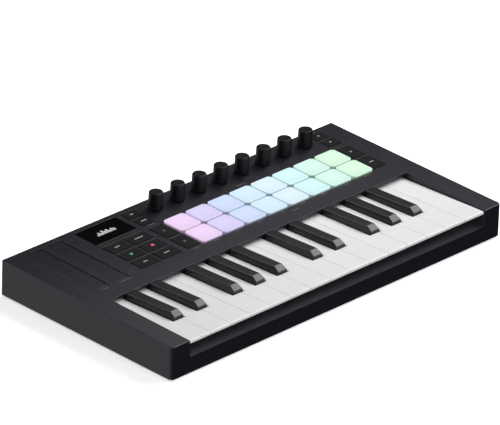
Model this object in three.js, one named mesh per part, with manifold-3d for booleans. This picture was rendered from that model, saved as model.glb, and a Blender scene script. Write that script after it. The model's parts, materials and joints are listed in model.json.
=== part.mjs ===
// A 25-key mini MIDI keyboard: keys, pads, endless knobs, buttons and touch strips in a thin case.
// Millimetres. +X is to the player's right, +Y to the back, +Z up.
// The origin is on the table, under the middle of the case.

import * as THREE from 'three';
import { mergeVertices } from 'three/addons/utils/BufferGeometryUtils.js';
import Module from 'manifold-3d';

const wasm = await Module();
wasm.setup();

// ---- Case ----
const CASE_WIDTH = 330;
const CASE_DEPTH = 172;
const FRONT_HEIGHT = 25.4;
const REAR_HEIGHT = 27.2;
const FRONT_CORNER_RADIUS = 3;
const REAR_CORNER_RADIUS = 1;
const INNER_CORNER_RADIUS = 0.6;
const WALL = 2.4;
const FOOT_HEIGHT = 1.5;
const GAP = 0.3;
const FRONT_Y = -CASE_DEPTH / 2;
const REAR_Y = CASE_DEPTH / 2;
const PANEL_SLOPE = Math.atan2(REAR_HEIGHT - FRONT_HEIGHT, CASE_DEPTH);
const PANEL_MIDDLE_HEIGHT = (FRONT_HEIGHT + REAR_HEIGHT) / 2;

// ---- Key well, open to the front above a ledge ----
const WELL_HALF_WIDTH = 147.6;
const WELL_REAR_Y = -7;
const LEDGE_HEIGHT = 12.3;
const LEDGE_DEPTH = 14;
const OVERSHOOT = 5;

// ---- Keys ----
const WHITE_COUNT = 15;
const WHITE_PITCH = 19.6;
const KEY_GAP = 0.5;
const KEYS_LEFT = -WHITE_COUNT * WHITE_PITCH / 2;
const WHITE_FRONT_Y = -85.6;
const WHITE_FRONT_TOP = 24.9;
const WHITE_TOP_FALL = Math.tan(THREE.MathUtils.degToRad(2.2));
const LIP_THICKNESS = 2.3;
const LIP_LENGTH = 9;
const SKIRT_BOTTOM = 16.2;
const KEY_REAR_Y = 8.4;
const PIVOT_Y = 4;
const PIVOT_Z = 15.5;
const PIVOT_ROD_RADIUS = 1.5;
const PIVOT_BORE_RADIUS = 1.8;
const PIVOT_WALL = 2;
const JAW_LENGTH = 9;
const JAW_BOTTOM = 13.6;
const BLACK_WIDTH = 10.5;
const BLACK_TOP_WIDTH = 7.5;
const BLACK_FRONT_Y = -55.6;
const BLACK_FACET_START = 25.8;
const BLACK_FACET_SETBACK = 4.9;
const BLACK_FRONT_TOP = 28.6;
const BLACK_REAR_TOP = 26.3;
const BLACK_HEAD_REAR_Y = -8;
const BLACK_ARM_WIDTH = 7.5;
const ARM_OVERLAP = 2;
const BLACK_CLEARANCE = 0.6;
const OCTAVE_WHITES = 7;
// Each black key stands behind the edge after this white key, shifted sideways by this much.
const OCTAVE_BLACKS = [
  { after: 1, shift: -1.6 },
  { after: 2, shift: 1.7 },
  { after: 4, shift: -2.5 },
  { after: 5, shift: 0 },
  { after: 6, shift: 2.2 },
];

// ---- Panel controls, placed on the sloping panel ----
const PAD_COLUMNS = 8;
const PAD_ROWS = 2;
const PAD_PITCH = 21.8;
const PAD_SIZE = 20.8;
const PAD_CORNER_CUT = 2.2;
const PAD_RISE = 1.2;
const PAD_FIRST_X = -29.6;
const PAD_FIRST_Y = 21.2;
const PAD_SHEET_THICKNESS = 1.2;
const PAD_SHEET_MARGIN = 1;
const KNOB_COUNT = 8;
const KNOB_PITCH = 21.65;
const KNOB_FIRST_X = -28.6;
const KNOB_Y = 71.5;
const KNOB_BASE_RADIUS = 5.6;
const KNOB_TOP_RADIUS = 5.3;
const KNOB_HEIGHT = 13.8;
const KNOB_EDGE = 0.6;
const KNOB_FLOAT = 0.5;
const KNOB_STEM_RADIUS = 3;
const KNOB_STEM_BOTTOM = -5.6;
const KNOB_HOLE_MARGIN = 0.8;
const KNOB_SEGMENTS = 24;
const BUTTON_RISE = 0.4;
const BUTTON_FLANGE = 0.8;
const BUTTON_FLANGE_THICKNESS = 0.8;
const BUTTON_STEM_RADIUS = 1.6;
const BUTTON_STEM_BOTTOM = -5.3;
const WINDOW_CLEARANCE = 0.35;
const WINDOW_CORNER = 1;
const RECESS_DEPTH = 1.7;
const SCREEN_TOP = -0.1;
const STRIP_TOP = -0.6;

const BUTTONS = [
  { name: 'shift_button', x: -48.2, y: 75.8, width: 12.2, depth: 10.2 },
  { name: 'settings_button', x: -48.2, y: 63.4, width: 12.2, depth: 10.2 },
  { name: 'custom_button', x: -90.2, y: 46.6, width: 18.6, depth: 12 },
  { name: 'arp_button', x: -69.4, y: 46.6, width: 18.6, depth: 12 },
  { name: 'play_button', x: -90.2, y: 32.3, width: 18.6, depth: 12 },
  { name: 'record_button', x: -69.4, y: 32.3, width: 18.6, depth: 12 },
  { name: 'octave_down_button', x: -90.2, y: 18, width: 18.6, depth: 12 },
  { name: 'octave_up_button', x: -69.4, y: 18, width: 18.6, depth: 12 },
  { name: 'pad_bank_up_button', x: -48.2, y: 42.6, width: 12.2, depth: 18.6 },
  { name: 'pad_bank_down_button', x: -48.2, y: 21.6, width: 12.2, depth: 18.6 },
  { name: 'knob_bank_up_button', x: 141.4, y: 75.8, width: 12.2, depth: 10.2 },
  { name: 'knob_bank_down_button', x: 141.4, y: 63.4, width: 12.2, depth: 10.2 },
  { name: 'scene_launch_button', x: 141.4, y: 42.6, width: 12.2, depth: 18.6 },
  { name: 'function_button', x: 141.4, y: 21.6, width: 12.2, depth: 18.6 },
];
const STRIPS = [
  { name: 'pitch_strip', x: -139.4, y: 45, width: 12, depth: 70 },
  { name: 'modulation_strip', x: -120.1, y: 45, width: 12, depth: 70 },
];
const SCREEN = { x: -80, y: 69.4, width: 40, depth: 23 };

// ---- Inside the case ----
const BOARD = { left: -104, right: 150, front: 10.5, rear: 76.5, top: -6.5, thickness: 1.6 };
const ENCODER_SIZE = 11;
const ENCODER_TOP = -3;
const ENCODER_BUSH_RADIUS = 3.3;
const ENCODER_BUSH_FLOOR = 0.4;
const CHASSIS_HALF_WIDTH = 145;
const CHASSIS_FRONT_Y = -70;
const CHASSIS_BOTTOM = 5;
const CHASSIS_TOP = 7;
const STOP_RAIL_REAR_Y = -64;
const STOP_RAIL_TOP = 13;
const RIB_WIDTH = 2;
const RIB_FRONT_YS = [-56, -8];
const BASE_THICKNESS = 2.2;
const POST_RADIUS = 3.2;
const POST_BORE_RADIUS = 1.25;
const POST_BORE_TOP = 15;
const SCREW_HOLE_RADIUS = 1.7;
const SMALL_HOLE_SEGMENTS = 10;
const POSTS = [
  [-156.5, -74], [156.5, -74],
  [-156.5, 4], [156.5, 4],
  [-156.5, 77], [156.5, 77],
  [20, 80.6],
];
const FOOT_HALF_LENGTH = 140;
const FOOT_WIDTH = 9;
const FOOT_RECESS = 0.8;
const FOOT_CORNER_RADIUS = 3;
const FEET = [
  { name: 'front_foot', y: -66 },
  { name: 'rear_foot', y: 66 },
];

// ---- Rear sockets ----
const SOCKET_HEIGHT = 13.5;
const SOCKET_BODY_TOP = 18.3;
const SOCKET_FACE_Y = REAR_Y - 0.3;
const SOCKET_BODY_REAR_Y = REAR_Y - WALL - GAP;
const JACK_BACK_WALL = 2;
const USB = { x: -92, width: 9, height: 3.4, shell: 0.4, bodyDepth: 8, mouthDepth: 6 };
const USB_TONGUE = { halfWidth: 3.3, halfHeight: 0.35, setback: 0.8, root: 7 };
const MIDI_JACK = { x: -66, barrel: 3.1, bore: 1.8, bodyWidth: 8.5, bodyDepth: 12 };
const SUSTAIN_JACK = { x: -38, barrel: 5.2, bore: 3.25, bodyWidth: 13, bodyDepth: 22 };
const ROUND_SEGMENTS = 20;
const HOLE_SEGMENTS = 14;
const THROUGH = 40;

// ---- Finishes ----
function finish(color, roughness, metalness = 0) {
  return new THREE.MeshStandardMaterial({ color, roughness, metalness });
}

// ---- Solids: three.js geometry in, three.js geometry out ----
function toSolid(geometry) {
  const bare = geometry.clone();
  bare.deleteAttribute('normal');
  bare.deleteAttribute('uv');
  const merged = mergeVertices(bare, 1e-4);
  const index = merged.index.array;
  const triangles = [];
  for (let i = 0; i < index.length; i += 3) {
    const [a, b, c] = [index[i], index[i + 1], index[i + 2]];
    if (a !== b && b !== c && c !== a) {
      triangles.push(a, b, c);
    }
  }
  return new wasm.Manifold(new wasm.Mesh({
    numProp: 3,
    vertProperties: new Float32Array(merged.attributes.position.array),
    triVerts: new Uint32Array(triangles),
  }));
}

function toGeometry(solid) {
  const mesh = solid.getMesh();
  const geometry = new THREE.BufferGeometry();
  geometry.setAttribute('position', new THREE.Float32BufferAttribute(mesh.vertProperties, 3));
  geometry.setIndex(new THREE.Uint32BufferAttribute(mesh.triVerts, 1));
  return geometry;
}

function box(x0, x1, y0, y1, z0, z1) {
  const geometry = new THREE.BoxGeometry(x1 - x0, y1 - y0, z1 - z0);
  return geometry.translate((x0 + x1) / 2, (y0 + y1) / 2, (z0 + z1) / 2);
}

// An outline in the XY plane, raised from z0 to z1.
function plate(shape, z0, z1, curveSegments = 1) {
  const geometry = new THREE.ExtrudeGeometry(shape, {
    depth: z1 - z0, bevelEnabled: false, curveSegments,
  });
  return geometry.translate(0, 0, z0);
}

// An outline drawn as (y, z), run from x0 to x1.
const SIDEWAYS = new THREE.Matrix4().set(
  0, 0, 1, 0,
  1, 0, 0, 0,
  0, 1, 0, 0,
  0, 0, 0, 1,
);
function sideExtrusion(shape, x0, x1, curveSegments = 5) {
  const geometry = new THREE.ExtrudeGeometry(shape, {
    depth: x1 - x0, bevelEnabled: false, curveSegments,
  });
  return geometry.applyMatrix4(SIDEWAYS).translate(x0, 0, 0);
}

function polygon(points) {
  return new THREE.Shape(points.map(([x, y]) => new THREE.Vector2(x, y)));
}

function roundedRectangle(centreX, centreY, width, depth, radius, rearRadius = radius) {
  const [x0, x1] = [centreX - width / 2, centreX + width / 2];
  const [y0, y1] = [centreY - depth / 2, centreY + depth / 2];
  const shape = new THREE.Shape();
  shape.moveTo(x0 + radius, y0);
  shape.lineTo(x1 - radius, y0);
  shape.absarc(x1 - radius, y0 + radius, radius, -Math.PI / 2, 0);
  shape.lineTo(x1, y1 - rearRadius);
  shape.absarc(x1 - rearRadius, y1 - rearRadius, rearRadius, 0, Math.PI / 2);
  shape.lineTo(x0 + rearRadius, y1);
  shape.absarc(x0 + rearRadius, y1 - rearRadius, rearRadius, Math.PI / 2, Math.PI);
  shape.lineTo(x0, y0 + radius);
  shape.absarc(x0 + radius, y0 + radius, radius, Math.PI, Math.PI * 1.5);
  return shape;
}

function upright(x, y, radius, z0, z1, segments = HOLE_SEGMENTS) {
  const geometry = new THREE.CylinderGeometry(radius, radius, z1 - z0, segments);
  return geometry.rotateX(Math.PI / 2).translate(x, y, (z0 + z1) / 2);
}

function alongY(x, z, radius, y0, y1, segments = ROUND_SEGMENTS) {
  const geometry = new THREE.CylinderGeometry(radius, radius, y1 - y0, segments);
  return geometry.translate(x, (y0 + y1) / 2, z);
}

// ---- The panel's own frame: z is 0 on the panel's surface ----
const panelFrame = new THREE.Matrix4().makeRotationX(PANEL_SLOPE);
panelFrame.setPosition(0, 0, PANEL_MIDDLE_HEIGHT);

function panelCut(geometry) {
  return toSolid(geometry.applyMatrix4(panelFrame));
}

function panelHeight(y) {
  return PANEL_MIDDLE_HEIGHT + y * Math.tan(PANEL_SLOPE);
}

// ---- Top case: panel, walls, cheeks and ledge in one moulding ----
function caseBlock(inset, bottom) {
  const side = polygon([
    [FRONT_Y + inset, bottom],
    [REAR_Y - inset, bottom],
    [REAR_Y - inset, panelHeight(REAR_Y - inset) - inset],
    [FRONT_Y + inset, panelHeight(FRONT_Y + inset) - inset],
  ]);
  const outline = roundedRectangle(
    0, 0, CASE_WIDTH - 2 * inset, CASE_DEPTH - 2 * inset,
    Math.max(FRONT_CORNER_RADIUS - inset, INNER_CORNER_RADIUS),
    Math.max(REAR_CORNER_RADIUS - inset, INNER_CORNER_RADIUS),
  );
  const halfWidth = CASE_WIDTH / 2 - inset;
  return toSolid(sideExtrusion(side, -halfWidth, halfWidth))
    .intersect(toSolid(plate(outline, -OVERSHOOT, THROUGH, 2)));
}

function padField() {
  const width = (PAD_COLUMNS - 1) * PAD_PITCH + PAD_SIZE;
  const depth = (PAD_ROWS - 1) * PAD_PITCH + PAD_SIZE;
  const x = PAD_FIRST_X + (PAD_COLUMNS - 1) * PAD_PITCH / 2;
  const y = PAD_FIRST_Y + (PAD_ROWS - 1) * PAD_PITCH / 2;
  return { x, y, width, depth };
}

function knobCentres() {
  return Array.from({ length: KNOB_COUNT }, (_, i) => KNOB_FIRST_X + i * KNOB_PITCH);
}

function windowCutter(place, floor) {
  const width = place.width + 2 * WINDOW_CLEARANCE;
  const depth = place.depth + 2 * WINDOW_CLEARANCE;
  const outline = roundedRectangle(place.x, place.y, width, depth, WINDOW_CORNER);
  return panelCut(plate(outline, floor, OVERSHOOT));
}

function topCase() {
  let solid = caseBlock(0, 0).subtract(caseBlock(WALL, -1));
  const cheekFront = FRONT_Y + WALL / 2;
  for (const side of [-1, 1]) {
    const [x0, x1] = [side * WELL_HALF_WIDTH, side * (WELL_HALF_WIDTH + WALL)].sort((a, b) => a - b);
    const wall = polygon([
      [cheekFront, BASE_THICKNESS + GAP],
      [WELL_REAR_Y, BASE_THICKNESS + GAP],
      [WELL_REAR_Y, panelHeight(WELL_REAR_Y) - WALL / 2],
      [cheekFront, panelHeight(cheekFront) - WALL / 2],
    ]);
    solid = solid.add(toSolid(sideExtrusion(wall, x0, x1)));
  }
  const ledgeHalf = WELL_HALF_WIDTH + WALL / 2;
  const ledgeRear = FRONT_Y + LEDGE_DEPTH;
  const ledge = box(-ledgeHalf, ledgeHalf, cheekFront, ledgeRear, LEDGE_HEIGHT - WALL, LEDGE_HEIGHT);
  solid = solid.add(toSolid(ledge));
  for (const [x, y] of POSTS) {
    const top = panelHeight(y) - WALL / 2;
    solid = solid.add(toSolid(upright(x, y, POST_RADIUS, BASE_THICKNESS + GAP, top)));
    const bore = upright(x, y, POST_BORE_RADIUS, 0, POST_BORE_TOP, SMALL_HOLE_SEGMENTS);
    solid = solid.subtract(toSolid(bore));
  }
  const well = box(
    -WELL_HALF_WIDTH, WELL_HALF_WIDTH, FRONT_Y - OVERSHOOT, WELL_REAR_Y, LEDGE_HEIGHT, THROUGH,
  );
  solid = solid.subtract(toSolid(well));
  for (const place of BUTTONS) {
    solid = solid.subtract(windowCutter(place, -OVERSHOOT));
  }
  solid = solid.subtract(windowCutter(padField(), -OVERSHOOT));
  for (const place of [...STRIPS, SCREEN]) {
    solid = solid.subtract(windowCutter(place, -RECESS_DEPTH));
  }
  for (const x of knobCentres()) {
    const radius = KNOB_STEM_RADIUS + KNOB_HOLE_MARGIN;
    solid = solid.subtract(panelCut(upright(x, KNOB_Y, radius, -OVERSHOOT, OVERSHOOT)));
  }
  return solid.subtract(socketHoles());
}

function socketHoles() {
  const [y0, y1] = [REAR_Y - 2 * WALL, REAR_Y + 2];
  const midi = alongY(MIDI_JACK.x, SOCKET_HEIGHT, MIDI_JACK.barrel + GAP, y0, y1);
  const sustain = alongY(SUSTAIN_JACK.x, SOCKET_HEIGHT, SUSTAIN_JACK.barrel + GAP, y0, y1);
  const usb = usbOutline(USB.width + 2 * GAP, USB.height + 2 * GAP, y0, y1);
  return toSolid(midi).add(toSolid(sustain)).add(toSolid(usb));
}

// ---- Bottom case: a plate inside the walls, with screw holes and recesses for the feet ----
function bottomCase() {
  const inset = WALL + GAP;
  const outline = roundedRectangle(
    0, 0, CASE_WIDTH - 2 * inset, CASE_DEPTH - 2 * inset, INNER_CORNER_RADIUS,
  );
  let solid = toSolid(plate(outline, 0, BASE_THICKNESS));
  for (const [x, y] of POSTS) {
    const hole = upright(x, y, SCREW_HOLE_RADIUS, -OVERSHOOT, OVERSHOOT, SMALL_HOLE_SEGMENTS);
    solid = solid.subtract(toSolid(hole));
  }
  for (const foot of FEET) {
    solid = solid.subtract(toSolid(footBlock(foot.y, GAP, -OVERSHOOT, FOOT_RECESS)));
  }
  return solid;
}

function footBlock(y, margin, z0, z1) {
  const length = 2 * (FOOT_HALF_LENGTH + margin);
  const width = FOOT_WIDTH + 2 * margin;
  return plate(roundedRectangle(0, y, length, width, FOOT_CORNER_RADIUS), z0, z1, 2);
}

// ---- Keys ----
function whiteTop(y) {
  return WHITE_FRONT_TOP - (y - FRONT_Y) * WHITE_TOP_FALL;
}

// The rear of every key clips over the pivot rod: a round bore with a slot below it.
function addPivotJaws(shape) {
  const slotHalf = PIVOT_WALL / 2 + GAP;
  const mouth = Math.asin(slotHalf / PIVOT_BORE_RADIUS);
  const mouthDrop = PIVOT_BORE_RADIUS * Math.cos(mouth);
  shape.lineTo(KEY_REAR_Y, JAW_BOTTOM);
  shape.lineTo(PIVOT_Y + slotHalf, JAW_BOTTOM);
  shape.lineTo(PIVOT_Y + slotHalf, PIVOT_Z - mouthDrop);
  shape.absarc(
    PIVOT_Y, PIVOT_Z, PIVOT_BORE_RADIUS, -Math.PI / 2 + mouth, Math.PI * 1.5 - mouth, false,
  );
  shape.lineTo(PIVOT_Y - slotHalf, JAW_BOTTOM);
  shape.lineTo(KEY_REAR_Y - JAW_LENGTH, JAW_BOTTOM);
  shape.lineTo(KEY_REAR_Y - JAW_LENGTH, SKIRT_BOTTOM);
}

function whiteSide() {
  const lipRear = WHITE_FRONT_Y + LIP_LENGTH;
  const shape = new THREE.Shape();
  shape.moveTo(WHITE_FRONT_Y, whiteTop(WHITE_FRONT_Y) - LIP_THICKNESS);
  shape.lineTo(WHITE_FRONT_Y, whiteTop(WHITE_FRONT_Y));
  shape.lineTo(KEY_REAR_Y, whiteTop(KEY_REAR_Y));
  addPivotJaws(shape);
  shape.lineTo(lipRear, SKIRT_BOTTOM);
  shape.lineTo(lipRear, whiteTop(lipRear) - LIP_THICKNESS);
  return shape;
}

function blackKeys() {
  const keys = [];
  for (let octave = 0; octave * OCTAVE_WHITES < WHITE_COUNT - 1; octave += 1) {
    for (const { after, shift } of OCTAVE_BLACKS) {
      const edge = octave * OCTAVE_WHITES + after;
      keys.push({ edge, x: KEYS_LEFT + edge * WHITE_PITCH + shift });
    }
  }
  return keys;
}

function whiteKey(index, blacks) {
  const left = KEYS_LEFT + index * WHITE_PITCH + KEY_GAP / 2;
  const right = left + WHITE_PITCH - KEY_GAP;
  const notch = BLACK_WIDTH / 2 + BLACK_CLEARANCE;
  const before = blacks.find((key) => key.edge === index);
  const after = blacks.find((key) => key.edge === index + 1);
  const tailLeft = before ? before.x + notch : left;
  const tailRight = after ? after.x - notch : right;
  const notchY = BLACK_FRONT_Y - BLACK_CLEARANCE;
  const outline = [[left, WHITE_FRONT_Y], [right, WHITE_FRONT_Y]];
  if (after) {
    outline.push([right, notchY], [tailRight, notchY]);
  }
  outline.push([tailRight, KEY_REAR_Y], [tailLeft, KEY_REAR_Y]);
  if (before) {
    outline.push([tailLeft, notchY], [left, notchY]);
  }
  return toSolid(sideExtrusion(whiteSide(), left, right))
    .intersect(toSolid(plate(polygon(outline), 0, THROUGH)));
}

function blackKey() {
  const head = polygon([
    [BLACK_FRONT_Y, SKIRT_BOTTOM],
    [BLACK_FRONT_Y, BLACK_FACET_START],
    [BLACK_FRONT_Y + BLACK_FACET_SETBACK, BLACK_FRONT_TOP],
    [BLACK_HEAD_REAR_Y, BLACK_REAR_TOP],
    [BLACK_HEAD_REAR_Y, SKIRT_BOTTOM],
  ]);
  const base = BLACK_WIDTH / 2;
  const top = BLACK_TOP_WIDTH / 2;
  const section = polygon([
    [-base, 0],
    [base, 0],
    [base, whiteTop(BLACK_HEAD_REAR_Y)],
    [top, BLACK_FRONT_TOP],
    [-top, BLACK_FRONT_TOP],
    [-base, whiteTop(BLACK_HEAD_REAR_Y)],
  ]);
  const length = BLACK_HEAD_REAR_Y - BLACK_FRONT_Y;
  const sectionRun = plate(section, 0, length).rotateX(Math.PI / 2)
    .translate(0, BLACK_HEAD_REAR_Y, 0);
  const arm = new THREE.Shape();
  arm.moveTo(BLACK_HEAD_REAR_Y - ARM_OVERLAP, SKIRT_BOTTOM);
  arm.lineTo(BLACK_HEAD_REAR_Y - ARM_OVERLAP, whiteTop(BLACK_HEAD_REAR_Y));
  arm.lineTo(KEY_REAR_Y, whiteTop(KEY_REAR_Y));
  addPivotJaws(arm);
  return toSolid(sideExtrusion(head, -base, base))
    .intersect(toSolid(sectionRun))
    .add(toSolid(sideExtrusion(arm, -BLACK_ARM_WIDTH / 2, BLACK_ARM_WIDTH / 2)));
}

// ---- Key chassis: a tray with the pivot rod along its rear and the keys' stop rail at its front ----
function keyChassis() {
  const rodMeet = Math.asin(PIVOT_WALL / 2 / PIVOT_ROD_RADIUS);
  const side = new THREE.Shape();
  side.moveTo(CHASSIS_FRONT_Y, CHASSIS_BOTTOM);
  side.lineTo(KEY_REAR_Y, CHASSIS_BOTTOM);
  side.lineTo(KEY_REAR_Y, CHASSIS_TOP);
  side.lineTo(PIVOT_Y + PIVOT_WALL / 2, CHASSIS_TOP);
  side.absarc(
    PIVOT_Y, PIVOT_Z, PIVOT_ROD_RADIUS, -Math.PI / 2 + rodMeet, Math.PI * 1.5 - rodMeet, false,
  );
  side.lineTo(PIVOT_Y - PIVOT_WALL / 2, CHASSIS_TOP);
  side.lineTo(CHASSIS_FRONT_Y, CHASSIS_TOP);
  let solid = toSolid(sideExtrusion(side, -CHASSIS_HALF_WIDTH, CHASSIS_HALF_WIDTH));
  solid = solid.add(toSolid(box(
    -CHASSIS_HALF_WIDTH, CHASSIS_HALF_WIDTH, CHASSIS_FRONT_Y, STOP_RAIL_REAR_Y,
    CHASSIS_BOTTOM, STOP_RAIL_TOP,
  )));
  for (const y of RIB_FRONT_YS) {
    solid = solid.add(toSolid(box(
      -CHASSIS_HALF_WIDTH, CHASSIS_HALF_WIDTH, y, y + RIB_WIDTH, BASE_THICKNESS + GAP, CHASSIS_TOP,
    )));
  }
  return solid;
}

// ---- Panel pieces, drawn in the panel's frame ----
function padShape(x, y) {
  const half = PAD_SIZE / 2;
  const cut = half - PAD_CORNER_CUT;
  return polygon([
    [x - cut, y - half], [x + cut, y - half], [x + half, y - cut], [x + half, y + cut],
    [x + cut, y + half], [x - cut, y + half], [x - half, y + cut], [x - half, y - cut],
  ]);
}

// One silicone moulding: a sheet under the panel with the pads standing up through its window.
function padMat() {
  const sheetTop = -WALL - GAP;
  const sheetBottom = sheetTop - PAD_SHEET_THICKNESS;
  const field = padField();
  const halfWidth = field.width / 2 + PAD_SHEET_MARGIN;
  const halfDepth = field.depth / 2 + PAD_SHEET_MARGIN;
  let solid = toSolid(box(
    field.x - halfWidth, field.x + halfWidth,
    field.y - halfDepth, field.y + halfDepth, sheetBottom, sheetTop,
  ));
  for (let row = 0; row < PAD_ROWS; row += 1) {
    for (let column = 0; column < PAD_COLUMNS; column += 1) {
      const shape = padShape(PAD_FIRST_X + column * PAD_PITCH, PAD_FIRST_Y + row * PAD_PITCH);
      solid = solid.add(toSolid(plate(shape, sheetBottom + PAD_SHEET_THICKNESS / 2, PAD_RISE)));
    }
  }
  return solid;
}

// A knob with the shaft that turns in its encoder, drawn round its own axis.
function knobGeometry() {
  const profile = [
    [0, KNOB_STEM_BOTTOM],
    [KNOB_STEM_RADIUS, KNOB_STEM_BOTTOM],
    [KNOB_STEM_RADIUS, KNOB_FLOAT],
    [KNOB_BASE_RADIUS, KNOB_FLOAT],
    [KNOB_TOP_RADIUS, KNOB_HEIGHT - KNOB_EDGE],
    [KNOB_TOP_RADIUS - KNOB_EDGE, KNOB_HEIGHT],
    [0, KNOB_HEIGHT],
  ];
  const points = profile.map(([radius, height]) => new THREE.Vector2(radius, height));
  return new THREE.LatheGeometry(points, KNOB_SEGMENTS).rotateX(Math.PI / 2);
}

// A button: cap, the flange that holds it under the panel, and the stem over its switch.
function button(place) {
  const flangeTop = -WALL - GAP;
  const flangeMiddle = flangeTop - BUTTON_FLANGE_THICKNESS / 2;
  const [halfWidth, halfDepth] = [place.width / 2, place.depth / 2];
  const cap = roundedRectangle(0, 0, place.width, place.depth, WINDOW_CORNER);
  const flange = box(
    -halfWidth, halfWidth, -halfDepth - BUTTON_FLANGE, halfDepth + BUTTON_FLANGE,
    flangeTop - BUTTON_FLANGE_THICKNESS, flangeTop,
  );
  const stem = upright(
    0, 0, BUTTON_STEM_RADIUS, BUTTON_STEM_BOTTOM, flangeMiddle, SMALL_HOLE_SEGMENTS,
  );
  return toSolid(plate(cap, flangeMiddle, BUTTON_RISE)).add(toSolid(flange)).add(toSolid(stem));
}

function insert(place, top) {
  const outline = roundedRectangle(0, 0, place.width, place.depth, WINDOW_CORNER);
  return plate(outline, GAP - RECESS_DEPTH, top);
}

// The main board, with an encoder body and its bush under each knob.
function circuitBoard() {
  let solid = toSolid(box(
    BOARD.left, BOARD.right, BOARD.front, BOARD.rear, BOARD.top - BOARD.thickness, BOARD.top,
  ));
  const half = ENCODER_SIZE / 2;
  for (const x of knobCentres()) {
    const housing = box(
      x - half, x + half, KNOB_Y - half, Math.min(KNOB_Y + half, BOARD.rear),
      BOARD.top - BOARD.thickness, ENCODER_TOP,
    );
    const bush = upright(x, KNOB_Y, ENCODER_BUSH_RADIUS, BOARD.top + ENCODER_BUSH_FLOOR, 0);
    solid = solid.add(toSolid(housing)).subtract(toSolid(bush));
  }
  return solid;
}

// ---- Rear sockets ----
function usbOutline(width, height, y0, y1) {
  const shape = roundedRectangle(USB.x, -SOCKET_HEIGHT, width, height, height / 2 - 0.01);
  return plate(shape, 0, y1 - y0, 2).rotateX(-Math.PI / 2).translate(0, y0, 0);
}

function socketBody(x, width, depth) {
  const rear = SOCKET_BODY_REAR_Y;
  const bottom = 2 * SOCKET_HEIGHT - SOCKET_BODY_TOP;
  return box(x - width / 2, x + width / 2, rear - depth, rear, bottom, SOCKET_BODY_TOP);
}

function usbSocket() {
  const rear = SOCKET_BODY_REAR_Y;
  const inner = USB.width - 2 * USB.shell;
  const mouth = usbOutline(inner, USB.height - 2 * USB.shell, rear - USB.mouthDepth, REAR_Y);
  const tongue = box(
    USB.x - USB_TONGUE.halfWidth, USB.x + USB_TONGUE.halfWidth,
    rear - USB_TONGUE.root, SOCKET_FACE_Y - USB_TONGUE.setback,
    SOCKET_HEIGHT - USB_TONGUE.halfHeight, SOCKET_HEIGHT + USB_TONGUE.halfHeight,
  );
  return toSolid(socketBody(USB.x, USB.width + 1, USB.bodyDepth))
    .add(toSolid(usbOutline(USB.width, USB.height, rear - 1, SOCKET_FACE_Y)))
    .subtract(toSolid(mouth))
    .add(toSolid(tongue));
}

function roundJack(jack) {
  const rear = SOCKET_BODY_REAR_Y;
  const boreEnd = rear - jack.bodyDepth + JACK_BACK_WALL;
  return toSolid(socketBody(jack.x, jack.bodyWidth, jack.bodyDepth))
    .add(toSolid(alongY(jack.x, SOCKET_HEIGHT, jack.barrel, rear - 1, SOCKET_FACE_Y)))
    .subtract(toSolid(alongY(jack.x, SOCKET_HEIGHT, jack.bore, boreEnd, REAR_Y)));
}

// ---- Assembly ----
const keyboard = new THREE.Group();
const body = new THREE.Group();
body.position.z = FOOT_HEIGHT;
keyboard.add(body);
const panel = new THREE.Group();
panel.position.z = PANEL_MIDDLE_HEIGHT;
panel.rotation.x = PANEL_SLOPE;
body.add(panel);

function addPiece(parent, name, geometry, material, x = 0, y = 0) {
  const mesh = new THREE.Mesh(geometry, material);
  mesh.name = name;
  mesh.position.set(x, y, 0);
  parent.add(mesh);
}

function numbered(stem, index) {
  return `${stem}_${String(index + 1).padStart(2, '0')}`;
}

addPiece(body, 'top_case', toGeometry(topCase()), finish(0x2e2d31, 0.55));
addPiece(body, 'bottom_case', toGeometry(bottomCase()), finish(0x1b1b1d, 0.6));
addPiece(body, 'key_chassis', toGeometry(keyChassis()), finish(0x2a2a2c, 0.6));
for (const foot of FEET) {
  const geometry = footBlock(foot.y, 0, -FOOT_HEIGHT, FOOT_RECESS - GAP);
  addPiece(body, foot.name, geometry, finish(0x141414, 0.9));
}

const blacks = blackKeys();
for (let i = 0; i < WHITE_COUNT; i += 1) {
  const geometry = toGeometry(whiteKey(i, blacks));
  addPiece(body, numbered('white_key', i), geometry, finish(0xe6e4e3, 0.35));
}
blacks.forEach((key, i) => {
  addPiece(body, numbered('black_key', i), toGeometry(blackKey()), finish(0x232325, 0.4), key.x);
});

addPiece(panel, 'circuit_board', toGeometry(circuitBoard()), finish(0x1d4a35, 0.6));
addPiece(panel, 'pad_mat', toGeometry(padMat()), finish(0xd6ecf5, 0.5));
addPiece(panel, 'screen_lens', insert(SCREEN, SCREEN_TOP), finish(0x050507, 0.1), SCREEN.x, SCREEN.y);
for (const strip of STRIPS) {
  addPiece(panel, strip.name, insert(strip, STRIP_TOP), finish(0x2c2b30, 0.5), strip.x, strip.y);
}
knobCentres().forEach((x, i) => {
  addPiece(panel, `knob_${i + 1}`, knobGeometry(), finish(0x18181a, 0.6), x, KNOB_Y);
});
for (const item of BUTTONS) {
  addPiece(panel, item.name, toGeometry(button(item)), finish(0x252529, 0.7), item.x, item.y);
}
addPiece(body, 'usb_socket', toGeometry(usbSocket()), finish(0xb4b6b8, 0.3, 1));
addPiece(body, 'midi_out_jack', toGeometry(roundJack(MIDI_JACK)), finish(0x151515, 0.5));
addPiece(body, 'sustain_jack', toGeometry(roundJack(SUSTAIN_JACK)), finish(0x151515, 0.5));

export default keyboard;
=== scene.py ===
import json
import math

import bmesh
import bpy
from mathutils import Matrix, Vector

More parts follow.
